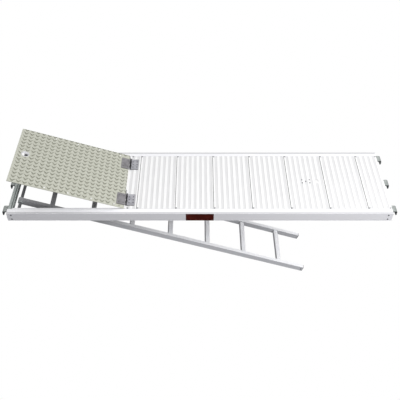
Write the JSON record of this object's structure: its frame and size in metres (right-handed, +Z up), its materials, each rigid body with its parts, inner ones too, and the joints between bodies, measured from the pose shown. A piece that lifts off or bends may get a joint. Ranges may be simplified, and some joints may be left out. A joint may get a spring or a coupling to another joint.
{
  "type": "scaffold access deck",
  "caption": "Long aluminium scaffold deck on side rails and hook-over claws, with a hinged tread-plate hatch over a manhole and a ladder that folds up beneath it.",
  "frame": {"origin": "seat of the hatch end's middle claw, the middle of the flat face under its top", "axes": "+X from the hatch end to the plain end, +Y to the far rail, +Z up out of the walking surface"},
  "size_m": [2.551, 0.6158, 0.9794],
  "materials": {
    "deck_aluminium": "mill finish, ribbed",
    "rail_aluminium": "satin",
    "galvanised_steel": "hot-dip galvanised",
    "tread_plate": "matt tread plate",
    "hinge_steel": "zinc plated",
    "dark_steel": "dark plated fasteners and shaft",
    "bright_rivet": "bright",
    "black_plastic": "moulded",
    "plate_red_brown": "printed plate, no text"
  },
  "bodies": {
    "deck": {"near_side_rail": "rail_aluminium", "far_side_rail": "rail_aluminium", "hatch_end_beam": "galvanised_steel", "plain_end_beam": "galvanised_steel", "corner_connectors": "rail_aluminium", "rail_end_rivets": "dark_steel", "identity_plate": "plate_red_brown", "hinge_plank": "deck_aluminium", "plank_1": "deck_aluminium", "plank_2": "deck_aluminium", "plank_3": "deck_aluminium", "plank_4": "deck_aluminium", "plank_5": "deck_aluminium", "plank_6": "deck_aluminium", "end_plank": "deck_aluminium", "plank_rivets": "bright_rivet", "hatch_end_near_claw": "galvanised_steel", "hatch_end_middle_claw": "galvanised_steel", "hatch_end_far_claw": "galvanised_steel", "plain_end_near_claw": "galvanised_steel", "plain_end_middle_claw": "galvanised_steel", "plain_end_far_claw": "galvanised_steel", "near_hinge_deck_leaf": "hinge_steel", "far_hinge_deck_leaf": "hinge_steel", "near_hinge_pin": "dark_steel", "far_hinge_pin": "dark_steel", "hinge_deck_screws": "dark_steel", "pivot_shaft": "dark_steel", "shaft_collars": "galvanised_steel", "collar_pins": "dark_steel", "catch_bracket": "galvanised_steel", "catch_pin": "dark_steel", "catch_rivets": "dark_steel"},
    "hatch": {"hatch_plate": "tread_plate", "near_hatch_stiffener": "deck_aluminium", "far_hatch_stiffener": "deck_aluminium", "hatch_edge_rivets": "bright_rivet", "hand_hole_rim": "deck_aluminium", "hand_hole_grip": "black_plastic", "near_hinge_hatch_leaf": "hinge_steel", "far_hinge_hatch_leaf": "hinge_steel", "hinge_hatch_rivets": "hinge_steel"},
    "ladder": {"near_stringer": "deck_aluminium", "far_stringer": "deck_aluminium", "rung_1": "deck_aluminium", "rung_2": "deck_aluminium", "rung_3": "deck_aluminium", "rung_4": "deck_aluminium", "rung_5": "deck_aluminium", "rung_6": "deck_aluminium", "rung_7": "deck_aluminium", "ladder_feet": "black_plastic", "ladder_foot_rivets": "dark_steel", "pivot_bushes": "black_plastic"},
    "catch": {"catch_hook": "galvanised_steel"}
  },
  "joints": [
    {"name": "hatch_hinge", "type": "hinge", "parent": "deck", "child": "hatch", "pos_m": [0.7805, 0, 0.0252], "axis": [0, 1, 0], "range_deg": [-18.8, 161.2]},
    {"name": "ladder_pivot", "type": "hinge", "parent": "deck", "child": "ladder", "pos_m": [0.0795, 0, -0.009], "axis": [0, 1, 0], "range_deg": [-18.2, 52.4]},
    {"name": "catch_swing", "type": "hinge", "parent": "deck", "child": "catch", "pos_m": [1.98034, 0, -0.025], "axis": [0, 1, 0], "range_deg": [0, 24]}
  ]
}
